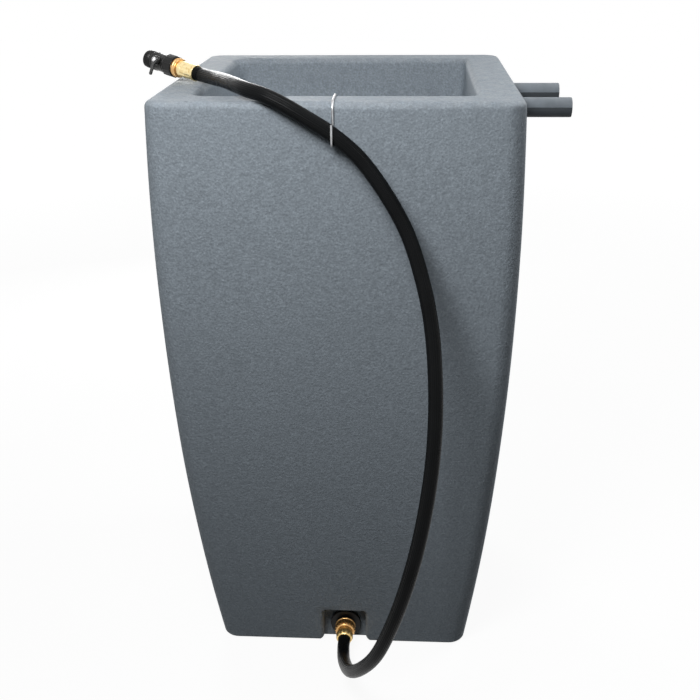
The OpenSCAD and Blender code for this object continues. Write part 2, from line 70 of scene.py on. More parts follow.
def soft_lamp(name, at, aim, size, watts):
    data = bpy.data.lights.new(name, "AREA")
    data.size, data.energy = size, watts
    lamp = bpy.data.objects.new(name, data)
    lamp.location = at
    lamp.rotation_euler = (Vector(aim) - Vector(at)).to_track_quat("-Z", "Y").to_euler()
    scene.collection.objects.link(lamp)


def seen_directly(tree):
    """1 for rays from the camera and for what metal and glass show, 0 for the light that falls on things."""
    nodes, links = tree.nodes, tree.links
    rays = nodes.new("ShaderNodeLightPath")
    total = rays.outputs["Is Camera Ray"]
    for name in ("Is Glossy Ray", "Is Transmission Ray"):
        plus = nodes.new("ShaderNodeMath")
        plus.operation, plus.use_clamp = "ADD", True
        links.new(total, plus.inputs[0])
        links.new(rays.outputs[name], plus.inputs[1])
        total = plus.outputs[0]
    return total


def light_room():
    world = bpy.data.worlds.new("studio")
    scene.world = world
    world.use_nodes = True
    tree = world.node_tree
    back = tree.nodes["Background"]
    back.inputs["Color"].default_value = (1, 1, 1, 1)
    ambient = tree.nodes.new("ShaderNodeMapRange")
    ambient.inputs["To Min"].default_value = 0.01
    ambient.inputs["To Max"].default_value = 1.0
    tree.links.new(seen_directly(tree), ambient.inputs["Value"])
    tree.links.new(ambient.outputs[0], back.inputs["Strength"])
    soft_lamp("key", (-0.22, -1.0, 1.6), (0, -0.2, 0.7), 0.5, 11.2)
    soft_lamp("left", (-0.45, -1.1, 1.75), (0, -0.1, 0.7), 0.5, 6.4)
    soft_lamp("above", (-0.1, -0.35, 2.6), (0, -0.1, 0.7), 0.9, 2.6)
    soft_lamp("rear", (-0.6, 1.7, 1.0), (0, 0.2, 0.55), 0.8, 16)
    soft_lamp("right", (1.05, 0.4, 1.5), (0.2, 0, 0.6), 0.7, 10.5)


def lay_floor():
    mesh = bpy.data.meshes.new("floor")
    r = FLOOR_HALF
    mesh.from_pydata([(-r, -r, 0), (r, -r, 0), (r, r, 0), (-r, r, 0)], [], [(0, 1, 2, 3)])
    floor = bpy.data.objects.new("floor", mesh)
    scene.collection.objects.link(floor)
    floor.location.z = -FLOOR_DROP
    paint = bpy.data.materials.new("pale_floor")
    paint.use_nodes = True
    tree = paint.node_tree
    shader = tree.nodes["Principled BSDF"]
    shader.inputs["Base Color"].default_value = (0.08, 0.08, 0.08, 1)
    shader.inputs["Roughness"].default_value = 1
    shader.inputs["Specular IOR Level"].default_value = 0
    shader.inputs["Emission Color"].default_value = (1, 1, 1, 1)
    place = tree.nodes.new("ShaderNodeTexCoord")
    far = tree.nodes.new("ShaderNodeVectorMath")
    far.operation = "LENGTH"
    tree.links.new(place.outputs["Object"], far.inputs[0])
    level = tree.nodes.new("ShaderNodeMapRange")
    for key, value in (("From Min", 0.9), ("From Max", 3.2), ("To Min", 0.93), ("To Max", 1.0)):
        level.inputs[key].default_value = value
    tree.links.new(far.outputs["Value"], level.inputs["Value"])
    glow = tree.nodes.new("ShaderNodeMath")
    glow.operation = "MULTIPLY"
    tree.links.new(seen_directly(tree), glow.inputs[0])
    tree.links.new(level.outputs[0], glow.inputs[1])
    tree.links.new(glow.outputs[0], shader.inputs["Emission Strength"])
    mesh.materials.append(paint)


# ---- Shader groups, each placed in the finishes with its own values ----

class Nodes:
    """Short calls for laying nodes in a tree and joining them."""

    def __init__(self, tree):
        self.tree = tree

    def fill(self, socket, source):
        """Joins another node's output to the socket, or gives the socket a plain value."""
        if isinstance(source, bpy.types.NodeSocket):
            self.tree.links.new(source, socket)
        else:
            socket.default_value = source

    def add(self, kind, links=None, **settings):
        node = self.tree.nodes.new(kind)
        for key, value in settings.items():
            setattr(node, key, value)
        for key, source in (links or {}).items():
            self.fill(node.inputs[key], source)
        return node

    def sum(self, operation, first, second=0.0, third=None):
        links = {0: first, 1: second}
        if third is not None:
            links[2] = third
        return self.add("ShaderNodeMath", links, operation=operation).outputs[0]

    def blend(self, share, first, second):
        node = self.add("ShaderNodeMix", data_type="RGBA")
        for index, source in ((0, share), (6, first), (7, second)):
            self.fill(node.inputs[index], source)
        return node.outputs[2]

    def noise(self, place, scale, detail, roughness=0.5):
        settings = {"Vector": place, "Scale": scale, "Detail": detail, "Roughness": roughness}
        return self.add("ShaderNodeTexNoise", settings).outputs["Fac"]

    def ramp(self, value, low, high):
        node = self.add("ShaderNodeMapRange", {"Value": value, "From Min": low, "From Max": high})
        return node.outputs[0]


def shader_group(name, inputs, outputs):
    tree = bpy.data.node_groups.new(name, "ShaderNodeTree")
    for label, kind, value in inputs:
        tree.interface.new_socket(label, in_out="INPUT", socket_type="NodeSocket" + kind).default_value = value
    for label, kind in outputs:
        tree.interface.new_socket(label, in_out="OUTPUT", socket_type="NodeSocket" + kind)
    nodes = Nodes(tree)
    return nodes, nodes.add("NodeGroupInput").outputs, nodes.add("NodeGroupOutput").inputs


def make_stone_fleck():
    """Speckled moulded plastic: dark and light flecks on a mottled ground, and the pebbled skin that goes with them."""
    n, given, out = shader_group(
        "stone_fleck",
        [("Ground", "Color", (0.3, 0.3, 0.3, 1)), ("Dark Fleck", "Color", (0.1, 0.1, 0.1, 1)),
         ("Light Fleck", "Color", (0.6, 0.6, 0.6, 1)), ("Fleck Size", "Float", 0.004)],
        [("Color", "Color"), ("Height", "Float"), ("Roughness", "Float")])
    place = n.add("ShaderNodeTexCoord").outputs["Object"]
    scale = n.sum("DIVIDE", 1.0, given["Fleck Size"])
    fine = n.noise(place, scale, 3.0, 0.62)
    coarse = n.noise(place, n.sum("MULTIPLY", scale, 0.37), 2.0)
    cloud = n.noise(place, 7.0, 3.0)
    pebble_scale = n.sum("MULTIPLY", scale, 0.8)
    pebble = n.add("ShaderNodeTexVoronoi", {"Vector": place, "Scale": pebble_scale}, feature="SMOOTH_F1")
    pebble.inputs["Smoothness"].default_value = 0.6
    ground = n.blend(n.ramp(cloud, 0.3, 0.7), given["Ground"], n.blend(0.16, given["Ground"], given["Dark Fleck"]))
    dark = n.blend(n.sum("MULTIPLY", n.ramp(fine, 0.50, 0.34), 0.85), ground, given["Dark Fleck"])
    light = n.blend(n.sum("MULTIPLY", n.ramp(fine, 0.53, 0.70), 0.85), dark, given["Light Fleck"])
    tinted = n.blend(n.sum("MULTIPLY", n.ramp(coarse, 0.52, 0.35), 0.35), light, given["Dark Fleck"])
    n.tree.links.new(tinted, out["Color"])
    high = n.sum("MULTIPLY_ADD", fine, 0.7, n.sum("MULTIPLY", coarse, 0.5))
    high = n.sum("MULTIPLY_ADD", pebble.outputs["Distance"], -0.35, high)
    n.tree.links.new(high, out["Height"])
    n.tree.links.new(n.sum("MULTIPLY_ADD", fine, 0.25, 0.55), out["Roughness"])


def make_handling():
    """Uneven sheen and colour from handling: broad smudges and a fine grain."""
    n, given, out = shader_group(
        "handling",
        [("Color", "Color", (0.5, 0.5, 0.5, 1)), ("Smudge", "Color", (0.4, 0.4, 0.4, 1)),
         ("Smudge Size", "Float", 0.03), ("Grain Size", "Float", 0.0008),
         ("Low", "Float", 0.3), ("High", "Float", 0.5)],
        [("Color", "Color"), ("Roughness", "Float"), ("Height", "Float")])
    place = n.add("ShaderNodeTexCoord").outputs["Object"]
    broad = n.noise(place, n.sum("DIVIDE", 1.0, given["Smudge Size"]), 4.0)
    grain = n.noise(place, n.sum("DIVIDE", 1.0, given["Grain Size"]), 2.0)
    share = n.ramp(broad, 0.35, 0.68)
    n.tree.links.new(n.blend(share, given["Color"], given["Smudge"]), out["Color"])
    spread = n.sum("SUBTRACT", given["High"], given["Low"])
    uneven = n.sum("MULTIPLY_ADD", grain, 0.4, n.sum("MULTIPLY", share, 0.6))
    n.tree.links.new(n.sum("MULTIPLY_ADD", uneven, spread, given["Low"]), out["Roughness"])
    n.tree.links.new(grain, out["Height"])


def make_lathe_lines():
    """Fine rings left by turning, square to an axis, with a little tarnish in small spots."""
    n, given, out = shader_group(
        "lathe_lines",
        [("Color", "Color", (0.8, 0.6, 0.3, 1)), ("Tarnish", "Color", (0.5, 0.3, 0.1, 1)),
         ("Axis", "Vector", (0, 0, 1)), ("Ring Width", "Float", 0.0004)],
        [("Color", "Color"), ("Height", "Float"), ("Roughness", "Float")])
    place = n.add("ShaderNodeTexCoord").outputs["Object"]
    along = n.add("ShaderNodeVectorMath", {0: place, 1: given["Axis"]}, operation="DOT_PRODUCT").outputs["Value"]
    ring_at = n.sum("DIVIDE", along, given["Ring Width"])
    rings = n.add("ShaderNodeTexNoise", {"W": ring_at, "Scale": 1.0, "Detail": 2.0}, noise_dimensions="1D")
    spots = n.noise(place, 260.0, 4.0)
    n.tree.links.new(n.blend(n.ramp(spots, 0.48, 0.72), given["Color"], given["Tarnish"]), out["Color"])
    n.tree.links.new(rings.outputs["Fac"], out["Height"])
    n.tree.links.new(n.sum("MULTIPLY_ADD", spots, 0.3, 0.22), out["Roughness"])


def make_settled_dust():
    """Pale dust on what faces up, broken up by noise."""
    n, given, out = shader_group(
        "settled_dust",
        [("Color", "Color", (0.1, 0.1, 0.1, 1)), ("Dust", "Color", (0.5, 0.5, 0.48, 1)), ("Amount", "Float", 0.2)],
        [("Color", "Color")])
    place = n.add("ShaderNodeTexCoord").outputs["Object"]
    facing = n.add("ShaderNodeSeparateXYZ", {0: n.add("ShaderNodeNewGeometry").outputs["Normal"]}).outputs["Z"]
    patches = n.sum("MULTIPLY", n.ramp(n.noise(place, 55.0, 6.0, 0.65), 0.35, 0.75), given["Amount"])
    share = n.sum("MULTIPLY", n.ramp(facing, 0.1, 0.95), patches)
    n.tree.links.new(n.blend(share, given["Color"], given["Dust"]), out["Color"])


for make_group in (make_stone_fleck, make_handling, make_lathe_lines, make_settled_dust):
    make_group()


# ---- Finishes ----

def shade(grey, tint=(1, 1, 1)):
    return tuple(grey * t for t in tint) + (1.0,)


class Finish(Nodes):
    """A material whose Principled shader takes plain values, and groups for what varies."""

    def __init__(self, name, **plain):
        self.material = bpy.data.materials.new(name)
        self.material.use_nodes = True
        super().__init__(self.material.node_tree)
        self.shader = self.tree.nodes["Principled BSDF"]
        for key, value in plain.items():
            self.shader.inputs[key.replace("_", " ")].default_value = value

    def group(self, name, links):
        node = self.add("ShaderNodeGroup", node_tree=bpy.data.node_groups[name])
        for key, source in links.items():
            self.fill(node.inputs[key], source)
        return node.outputs

    def feed(self, color=None, roughness=None, height=None, depth=0.0002, strength=0.5):
        if color is not None:
            self.tree.links.new(color, self.shader.inputs["Base Color"])
        if roughness is not None:
            self.tree.links.new(roughness, self.shader.inputs["Roughness"])
        if height is not None:
            bump = self.add("ShaderNodeBump", {"Height": height, "Distance": depth, "Strength": strength})
            self.tree.links.new(bump.outputs[0], self.shader.inputs["Normal"])
        return self.material


BLUE_GREY = (0.865, 1.0, 1.13)


def stone_plastic():
    f = Finish("stone_plastic")
    stone = f.group("stone_fleck", {
        "Ground": shade(0.275, BLUE_GREY), "Dark Fleck": shade(0.20, BLUE_GREY),
        "Light Fleck": shade(0.36, BLUE_GREY), "Fleck Size": 0.0030})
    dusted = f.group("settled_dust", {"Color": stone["Color"], "Dust": shade(0.5), "Amount": 0.25})
    f.shader.inputs["Specular IOR Level"].default_value = 0.3
    return f.feed(dusted["Color"], stone["Roughness"], stone["Height"], 0.0016, 0.6)


def plain_plastic(name, color, smudge, low, high, grain=0.0009, specular=0.4, depth=0.00012, dust=0.0, painted_underside_shade=None):
    """Handled plastic with roughness from low to high. It may carry dust, and a darker colour painted on what faces
    down as shade.
    """
    f = Finish(name)
    f.shader.inputs["Specular IOR Level"].default_value = specular
    hand = f.group("handling", {
        "Color": color, "Smudge": smudge, "Smudge Size": 0.035, "Grain Size": grain, "Low": low, "High": high})
    tone = hand["Color"]
    if dust:
        tone = f.group("settled_dust", {"Color": tone, "Dust": shade(0.4), "Amount": dust})["Color"]
    # Painted shade: what faces down takes the darker colour, standing in for the shade under a top lit from above.
    if painted_underside_shade:
        facing = f.add("ShaderNodeSeparateXYZ", {0: f.add("ShaderNodeNewGeometry").outputs["Normal"]}).outputs["Z"]
        tone = f.blend(f.ramp(facing, 0.07, 0.14), painted_underside_shade, tone)
    return f.feed(tone, hand["Roughness"], hand["Height"], depth, 0.6)


def turned_metal(name, color, tarnish, axis, ring=0.0005, depth=0.00004):
    f = Finish(name, Metallic=1.0)
    lines = f.group("lathe_lines", {"Color": color, "Tarnish": tarnish, "Axis": axis, "Ring Width": ring})
    return f.feed(lines["Color"], lines["Roughness"], lines["Height"], depth, 0.5)


def hose_rubber():
    """Black rubber: a faint bloom, fine ribs along the hose's own length, and slanting cords under its skin."""
    f = Finish("hose_rubber")
    f.shader.inputs["Specular IOR Level"].default_value = 0.06
    hand = f.group("handling", {
        "Color": shade(0.004, (0.9, 1, 1.1)), "Smudge": shade(0.006, (0.9, 1, 1.08)),
        "Smudge Size": 0.05, "Grain Size": 0.0012, "Low": 0.24, "High": 0.34})
    at = f.add("ShaderNodeUVMap", uv_map="along_hose").outputs[0]
    waves = []
    for turn, scale in ((0.9, 90.0), (-0.9, 90.0), (0.0, 120.0)):
        slant = f.add("ShaderNodeMapping", {"Vector": at, "Rotation": (0, 0, turn)})
        waves.append(f.add("ShaderNodeTexWave", {"Vector": slant.outputs[0], "Scale": scale}).outputs["Fac"])
    ribs = waves.pop()
    height = f.sum("MULTIPLY_ADD", f.sum("MAXIMUM", *waves), 0.12, f.sum("MULTIPLY", hand["Height"], 0.15))
    height = f.sum("ADD", height, ribs)
    return f.feed(hand["Color"], hand["Roughness"], height, 0.00045, 0.8)


def galvanised_wire():
    f = Finish("galvanised_wire", Metallic=0.9)
    hand = f.group("handling", {
        "Color": shade(0.58, (0.98, 1, 1.03)), "Smudge": shade(0.34), "Smudge Size": 0.006,
        "Grain Size": 0.0006, "Low": 0.28, "High": 0.55})
    return f.feed(hand["Color"], hand["Roughness"], hand["Height"], 0.00008, 0.5)


VALVE_DIR = Vector((
    math.cos(math.radians(8)) * math.cos(math.radians(146)),
    math.cos(math.radians(8)) * math.sin(math.radians(146)),
    math.sin(math.radians(8))))
OUTWARDS = (0, -1, 0)

finishes = {
    "stone": stone_plastic(),
    # The pipe's underside carries painted shade, a darker colour on what faces down.
    "pipe": plain_plastic(
        "pipe_plastic", shade(0.215, BLUE_GREY), shade(0.165, BLUE_GREY), 0.5, 0.66, grain=0.0014,
        specular=0.25, depth=0.0003, dust=0.2, painted_underside_shade=shade(0.06, BLUE_GREY)),
    "black": plain_plastic("black_plastic", shade(0.010), shade(0.016), 0.34, 0.52, specular=0.18, dust=0.03),
    "valve": plain_plastic("valve_plastic", shade(0.009), shade(0.016), 0.22, 0.38, specular=0.2),
    "lever": plain_plastic("lever_plastic", shade(0.045), shade(0.06), 0.3, 0.45),
    "rubber": plain_plastic("black_rubber", shade(0.016), shade(0.026), 0.6, 0.8, 0.0015, 0.25),
    "seat": plain_plastic("seat_plastic", shade(0.78), shade(0.70, (1, 0.99, 0.95)), 0.3, 0.45),
    "hose": hose_rubber(),
    "pale_brass": turned_metal("pale_brass", (0.93, 0.78, 0.44, 1), (0.72, 0.50, 0.20, 1), tuple(VALVE_DIR)),
    "ring_brass": turned_metal("ring_brass", (0.80, 0.50, 0.22, 1), (0.50, 0.27, 0.10, 1), tuple(VALVE_DIR)),
    "brass": turned_metal("brass", (0.84, 0.60, 0.25, 1), (0.50, 0.31, 0.11, 1), OUTWARDS),
    "nut_brass": turned_metal("nut_brass", (0.62, 0.37, 0.15, 1), (0.38, 0.20, 0.07, 1), OUTWARDS),
    "steel": turned_metal("bright_steel", (0.72, 0.72, 0.73, 1), (0.5, 0.5, 0.5, 1), tuple(VALVE_DIR)),
    "wire": galvanised_wire(),
}


# ---- Making pieces ----

def settle(name, mesh, finish, body, nodes=(), sharp=32):
    """Links a finished mesh, gives it its finish, and says what it rides on and stands for."""
    mesh.name = name
    mesh.materials.clear()
    mesh.materials.append(finishes[finish])
    mesh.shade_smooth()
    mesh.set_sharp_from_angle(angle=math.radians(sharp))
    piece = bpy.data.objects.new(name, mesh)
    scene.collection.objects.link(piece)
    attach(piece, body)
    if nodes:
        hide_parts(*nodes)
    return piece


def plain_mesh(points, faces, place=None):
    mesh = bpy.data.meshes.new("piece")
    mesh.from_pydata([tuple(p) for p in points], [], faces)
    if place is not None:
        mesh.transform(place)
    form = bmesh.new()
    form.from_mesh(mesh)
    bmesh.ops.remove_doubles(form, verts=form.verts, dist=1e-7)
    bmesh.ops.recalc_face_normals(form, faces=form.faces)
    form.to_mesh(mesh)
    form.free()
    return mesh


def joined(*meshes):
    form = bmesh.new()
    for mesh in meshes:
        form.from_mesh(mesh)
    whole = bpy.data.meshes.new("piece")
    form.to_mesh(whole)
    form.free()
    return whole


def eased(profile, reach, closed=True, steps=3):
    """The profile with its corners rounded over a short reach."""
    out = []
    for i, p in enumerate(profile):
        if not closed and i in (0, len(profile) - 1):
            out.append(p)
            continue
        p = np.array(p, float)
        before, after = np.array(profile[i - 1]) - p, np.array(profile[(i + 1) % len(profile)]) - p
        a, b = np.linalg.norm(before), np.linalg.norm(after)
        turn = abs(before @ after / (a * b) + 1)
        if turn < 0.02:
            out.append(tuple(p))
            continue
        cut = min(reach, 0.45 * a, 0.45 * b)
        for t in np.linspace(0, 1, steps + 1):
            q = (1 - t) ** 2 * (p + before / a * cut) + 2 * t * (1 - t) * p + t * t * (p + after / b * cut)
            out.append(tuple(q))
    return out


def turned(profile, place, steps=72, closed=True, shape=None):
    """A turned solid. The profile is (radius, height) in millimetres; shape(radius, height, angle) may press it in."""
    points, rings = [], []
    for radius, height in profile:
        start = len(points)
        if radius <= 0:
            points.append((0, 0, height * MM))
            rings.append([start] * steps)
            continue
        for k in range(steps):
            a = 2 * math.pi * k / steps
            r = (shape(radius, height, a) if shape else radius) * MM
            points.append((r * math.cos(a), r * math.sin(a), height * MM))
        rings.append(list(range(start, start + steps)))
    faces = []
    for i in range(len(rings) if closed else len(rings) - 1):
        a, b = rings[i], rings[(i + 1) % len(rings)]
        for k in range(steps):
            face = list(dict.fromkeys((a[k], a[(k + 1) % steps], b[(k + 1) % steps], b[k])))
            if len(face) > 2:
                faces.append(face)
    return plain_mesh(points, faces, place)


def cut_away(mesh, *cutters):
    """The mesh with each cutter's room taken out of it."""
    base = bpy.data.objects.new("base", mesh)
    scene.collection.objects.link(base)
    tools = []
    for cutter in cutters:
        tool = bpy.data.objects.new("cutter", cutter)
        scene.collection.objects.link(tool)
        step = base.modifiers.new("cut", "BOOLEAN")
        step.operation, step.object, step.solver = "DIFFERENCE", tool, "MANIFOLD"
        tools.append(tool)
    graph = bpy.context.evaluated_depsgraph_get()
    result = bpy.data.meshes.new_from_object(base.evaluated_get(graph))
    for spare in [base, *tools]:
        bpy.data.objects.remove(spare)
    return result


def grown(tree, values):
    """A plain mesh of what a Geometry Nodes tree makes with these values."""
    carrier = bpy.data.objects.new("carrier", bpy.data.meshes.new("carrier"))
    scene.collection.objects.link(carrier)
    step = carrier.modifiers.new("grow", "NODES")
    step.node_group = tree
    for item in tree.interface.items_tree:
        if item.item_type == "SOCKET" and item.in_out == "INPUT" and item.name in values:
            step[item.identifier] = values[item.name]
    graph = bpy.context.evaluated_depsgraph_get()
    mesh = bpy.data.meshes.new_from_object(carrier.evaluated_get(graph))
    carrier.modifiers.remove(step)
    bpy.data.objects.remove(carrier)
    return mesh


# ---- Geometry Nodes trees ----

def geometry_tree(name, inputs):
    tree = bpy.data.node_groups.new(name, "GeometryNodeTree")
    for label, kind, value in inputs:
        socket = tree.interface.new_socket(label, in_out="INPUT", socket_type="NodeSocket" + kind)
        if value is not None:
            socket.default_value = value
    tree.interface.new_socket("Geometry", in_out="OUTPUT", socket_type="NodeSocketGeometry")
    nodes = Nodes(tree)
    return nodes, nodes.add("NodeGroupInput").outputs


def sweep(n, curve, edge):
    settings = {"Curve": curve, "Profile Curve": edge.outputs[0], "Fill Caps": True}
    return n.add("GeometryNodeCurveToMesh", settings).outputs[0]


def close_tree(n, geometry, material):
    whole = n.add("GeometryNodeRealizeInstances", {"Geometry": geometry}).outputs[0]
    painted = n.add("GeometryNodeSetMaterial", {"Geometry": whole, "Material": material}).outputs[0]
    n.add("NodeGroupOutput", {"Geometry": painted})
    return n.tree


def screw_thread_tree():
    """A helical ridge that fades in and out at its ends."""
    n, given = geometry_tree("screw_thread", [
        ("Radius", "Float", 0.013), ("Pitch", "Float", 0.002), ("Turns", "Float", 4.0), ("Ridge", "Float", 0.001),
        ("Material", "Material", None)])
    spiral = n.add("GeometryNodeCurveSpiral", {
        "Resolution": 48, "Rotations": given["Turns"], "Start Radius": given["Radius"], "End Radius": given["Radius"],
        "Height": n.sum("MULTIPLY", given["Turns"], given["Pitch"])})
    along = n.add("GeometryNodeSplineParameter").outputs["Factor"]
    from_end = n.sum("MINIMUM", along, n.sum("SUBTRACT", 1.0, along))
    rise = n.sum("MULTIPLY", from_end, n.sum("MULTIPLY", given["Turns"], 2.5))
    fade = n.sum("MAXIMUM", n.sum("MINIMUM", rise, 1.0), 0.05)
    ridge = n.add("GeometryNodeSetCurveRadius", {"Curve": spiral.outputs[0], "Radius": fade})
    edge = n.add("GeometryNodeCurvePrimitiveCircle", {"Resolution": 4, "Radius": given["Ridge"]})
    return close_tree(n, sweep(n, ridge.outputs[0], edge), given["Material"])


def grip_ribs_tree():
    """Round-ended ribs set evenly round an axis."""
    n, given = geometry_tree("grip_ribs", [
        ("Count", "Int", 8), ("Radius", "Float", 0.016), ("Start", "Float", 0.0), ("Length", "Float", 0.015),
        ("Thickness", "Float", 0.002), ("Material", "Material", None)])
    foot = n.add("ShaderNodeCombineXYZ", {"Z": given["Start"]}).outputs[0]
    head = n.add("ShaderNodeCombineXYZ", {"Z": n.sum("ADD", given["Start"], given["Length"])}).outputs[0]
    line = n.add("GeometryNodeCurvePrimitiveLine", {"Start": foot, "End": head})
    fine = n.add("GeometryNodeResampleCurve", {"Curve": line.outputs[0], "Count": 13})
    along = n.add("GeometryNodeSplineParameter").outputs["Factor"]
    off_middle = n.sum("ABSOLUTE", n.sum("MULTIPLY_ADD", along, 2.0, -1.0))
    round_end = n.sum("SQRT", n.sum("SUBTRACT", 1.02, n.sum("POWER", off_middle, 8.0)))
    rib = n.add("GeometryNodeSetCurveRadius", {"Curve": fine.outputs[0], "Radius": round_end})
    half = n.sum("MULTIPLY", given["Thickness"], 0.5)
    edge = n.add("GeometryNodeCurvePrimitiveCircle", {"Resolution": 10, "Radius": half})
    solid = sweep(n, rib.outputs[0], edge)
    ring = n.add("GeometryNodeMeshCircle", {"Vertices": given["Count"], "Radius": given["Radius"]})
    spread = n.add("GeometryNodeInstanceOnPoints", {"Points": ring.outputs[0], "Instance": solid})
    return close_tree(n, spread.outputs[0], given["Material"])


def woven_wire_tree():
    """A round piece of plain-woven wire: each wire passes over and under the ones it crosses."""
    n, given = geometry_tree("woven_wire", [
        ("Radius", "Float", 0.07), ("Pitch", "Float", 0.003), ("Wire", "Float", 0.0002),
        ("Material", "Material", None)])
    half_count = n.sum("FLOOR", n.sum("DIVIDE", n.sum("SUBTRACT", given["Radius"], 0.0001), given["Pitch"]))
    first = n.sum("MULTIPLY", n.sum("MULTIPLY", half_count, given["Pitch"]), -1.0)
    row = n.add("GeometryNodeMeshLine", {
        "Count": n.sum("MULTIPLY_ADD", half_count, 2.0, 1.0),
        "Start Location": n.add("ShaderNodeCombineXYZ", {"Y": first}).outputs[0],
        "Offset": n.add("ShaderNodeCombineXYZ", {"Y": given["Pitch"]}).outputs[0]})
    unit = n.add("GeometryNodeCurvePrimitiveLine", {"Start": (-1, 0, 0), "End": (1, 0, 0)})
    at = n.add("ShaderNodeSeparateXYZ", {0: n.add("GeometryNodeInputPosition").outputs[0]}).outputs
    squares = [n.sum("MULTIPLY", value, value) for value in (given["Radius"], at["Y"])]
    reach = n.sum("SQRT", n.sum("SUBTRACT", *squares))
    stretch = n.add("ShaderNodeCombineXYZ", {"X": reach, "Y": 1.0, "Z": 1.0}).outputs[0]
    wires = n.add("GeometryNodeInstanceOnPoints", {
        "Points": row.outputs[0], "Instance": unit.outputs[0], "Scale": stretch})
    warp = n.add("GeometryNodeRealizeInstances", {"Geometry": wires.outputs[0]}).outputs[0]
    weft = n.add("GeometryNodeTransform", {"Geometry": warp, "Rotation": (0, 0, math.pi / 2)}).outputs[0]
    sides = []
    for wire, side in ((warp, 1.0), (weft, -1.0)):
        step = n.sum("MULTIPLY", given["Pitch"], 0.25)
        fine = n.add("GeometryNodeResampleCurve", {"Curve": wire, "Length": step}, mode="LENGTH")
        phase = n.sum("MULTIPLY", n.sum("DIVIDE", n.sum("ADD", at["X"], at["Y"]), given["Pitch"]), math.pi)
        lift = n.sum("MULTIPLY", n.sum("COSINE", phase), n.sum("MULTIPLY", given["Wire"], side))
        bent = n.add("GeometryNodeSetPosition", {
            "Geometry": fine.outputs[0], "Offset": n.add("ShaderNodeCombineXYZ", {"Z": lift}).outputs[0]})
        edge = n.add("GeometryNodeCurvePrimitiveCircle", {"Resolution": 5, "Radius": given["Wire"]})
        sides.append(sweep(n, bent.outputs[0], edge))
    both = n.add("GeometryNodeJoinGeometry")
    for side in sides:
        n.tree.links.new(side, both.inputs[0])
    return close_tree(n, both.outputs[0], given["Material"])


SCREW_THREAD, GRIP_RIBS, WOVEN_WIRE = screw_thread_tree(), grip_ribs_tree(), woven_wire_tree()


# ---- Places of the fittings ----

def frame_of(x, y, z, at):
    place = Matrix((Vector(x), Vector(y), Vector(z))).transposed().to_4x4()
    place.translation = Vector(at) * MM
    return place


HOSE_END = Vector((-211, -82, 921.5))
BOSS_DIR = Vector((-0.475253, -0.797824, 0.370961)).normalized()
VALVE = frame_of(BOSS_DIR, VALVE_DIR.cross(BOSS_DIR), VALVE_DIR, HOSE_END)
OUTLET = frame_of((1, 0, 0), (0, 0, 1), (0, -1, 0), (5, -190, 30))
OVERFLOW_Z, OVERFLOW_Y, OVERFLOW_END_X = 871, 70, 336
BOSS_AT = 70.6


# ---- Tank ----

BARREL_H, BELLY_Z, SIDE_R, HALF_W = 908, 728, 5146, 257
CORNER_R, FOOT_R, RIM_OUTER_R, RIM_INNER_R, RIM_W, WALL = 28, 6, 10, 10, 61, 5
BASIN_FLOOR_Z, BASIN_CORNER_R, BASIN_FLOOR_R, BASIN_DRAFT = 793, 18, 12, math.radians(3)
SCREEN_HOLE_R, OUTLET_HOLE_R, OVERFLOW_HOLE_R = 75, 13.3, 16.8
NOTCH_X, NOTCH_HALF_W, NOTCH_H, NOTCH_R, NOTCH_BACK_Y = 4, 35, 68, 8, -190
NOTCH_FLARE_W, NOTCH_FLARE_H = 8, 12


def half_w(z):
    return HALF_W - SIDE_R + math.sqrt(SIDE_R ** 2 - (z - BELLY_Z) ** 2)


BASIN_TOP = half_w(BARREL_H) - RIM_W
BASIN_WALL_TOP, BASIN_WALL_FOOT = BARREL_H - RIM_INNER_R, BASIN_FLOOR_Z + BASIN_FLOOR_R


def overflow_place(side):
    """Where an overflow pipe leaves the wall: its Z runs outwards and its X down."""
    return frame_of((0, 0, -1), (0, 1, 0), (1, 0, 0), (half_w(OVERFLOW_Z), OVERFLOW_Y * side, OVERFLOW_Z))


def tank_rings(inset, rows):
    """Rings of the tank's skin as (half width, corner radius, height), from the foot up and over into the basin."""
    rings = []
    arc = [math.pi / 2 * i / 8 for i in range(9)]
    for a in arc:
        r = FOOT_R - inset
        out = r * math.sin(a) - FOOT_R
        rings.append((half_w(FOOT_R) + out, CORNER_R + out, FOOT_R - r * math.cos(a)))
    for i in range(1, rows + 1):
        z = FOOT_R + (BARREL_H - RIM_OUTER_R - FOOT_R) * i / rows
        rings.append((half_w(z) - inset, CORNER_R - inset, z))
    for a in arc[1:]:
        r, z = RIM_OUTER_R - inset, BARREL_H - RIM_OUTER_R
        out = r * math.cos(a) - RIM_OUTER_R
        rings.append((half_w(z) + out, CORNER_R + out, z + r * math.sin(a)))
    top, foot = rings[-1], None
    for a in arc:
        r = RIM_INNER_R - inset
        out = RIM_INNER_R - r * math.sin(a)
        ring = (BASIN_TOP + out, BASIN_CORNER_R + out, BASIN_WALL_TOP + r * math.cos(a))
        if foot is None:
            foot = ring
            for t in (0.25, 0.5, 0.75):
                rings.append(tuple(p + (q - p) * t for p, q in zip(top, foot)))
        rings.append(ring)
    floor_half = BASIN_TOP - (BASIN_WALL_TOP - BASIN_WALL_FOOT) * math.tan(BASIN_DRAFT)
    upper = rings[-1]
    for i, a in enumerate(arc):
        r = BASIN_FLOOR_R + inset
        out = r * math.cos(a) - BASIN_FLOOR_R
        ring = (floor_half + out, max(BASIN_CORNER_R + out, 2), BASIN_WALL_FOOT - r * math.sin(a))
        if i == 0:
            for t in (k / 9 for k in range(1, 9)):
                rings.append(tuple(p + (q - p) * t for p, q in zip(upper, ring)))
        rings.append(ring)
    return rings


def ring_faces(rings, count, capped=False):
    """Faces that join rings which follow one another in a list of points, and may close the first and last."""
    faces = [(j * count + k, j * count + (k + 1) % count, (j + 1) * count + (k + 1) % count, (j + 1) * count + k)
             for j in range(rings - 1) for k in range(count)]
    if capped:
        faces += [tuple(range(count)), tuple(range((rings - 1) * count, rings * count))]
    return faces


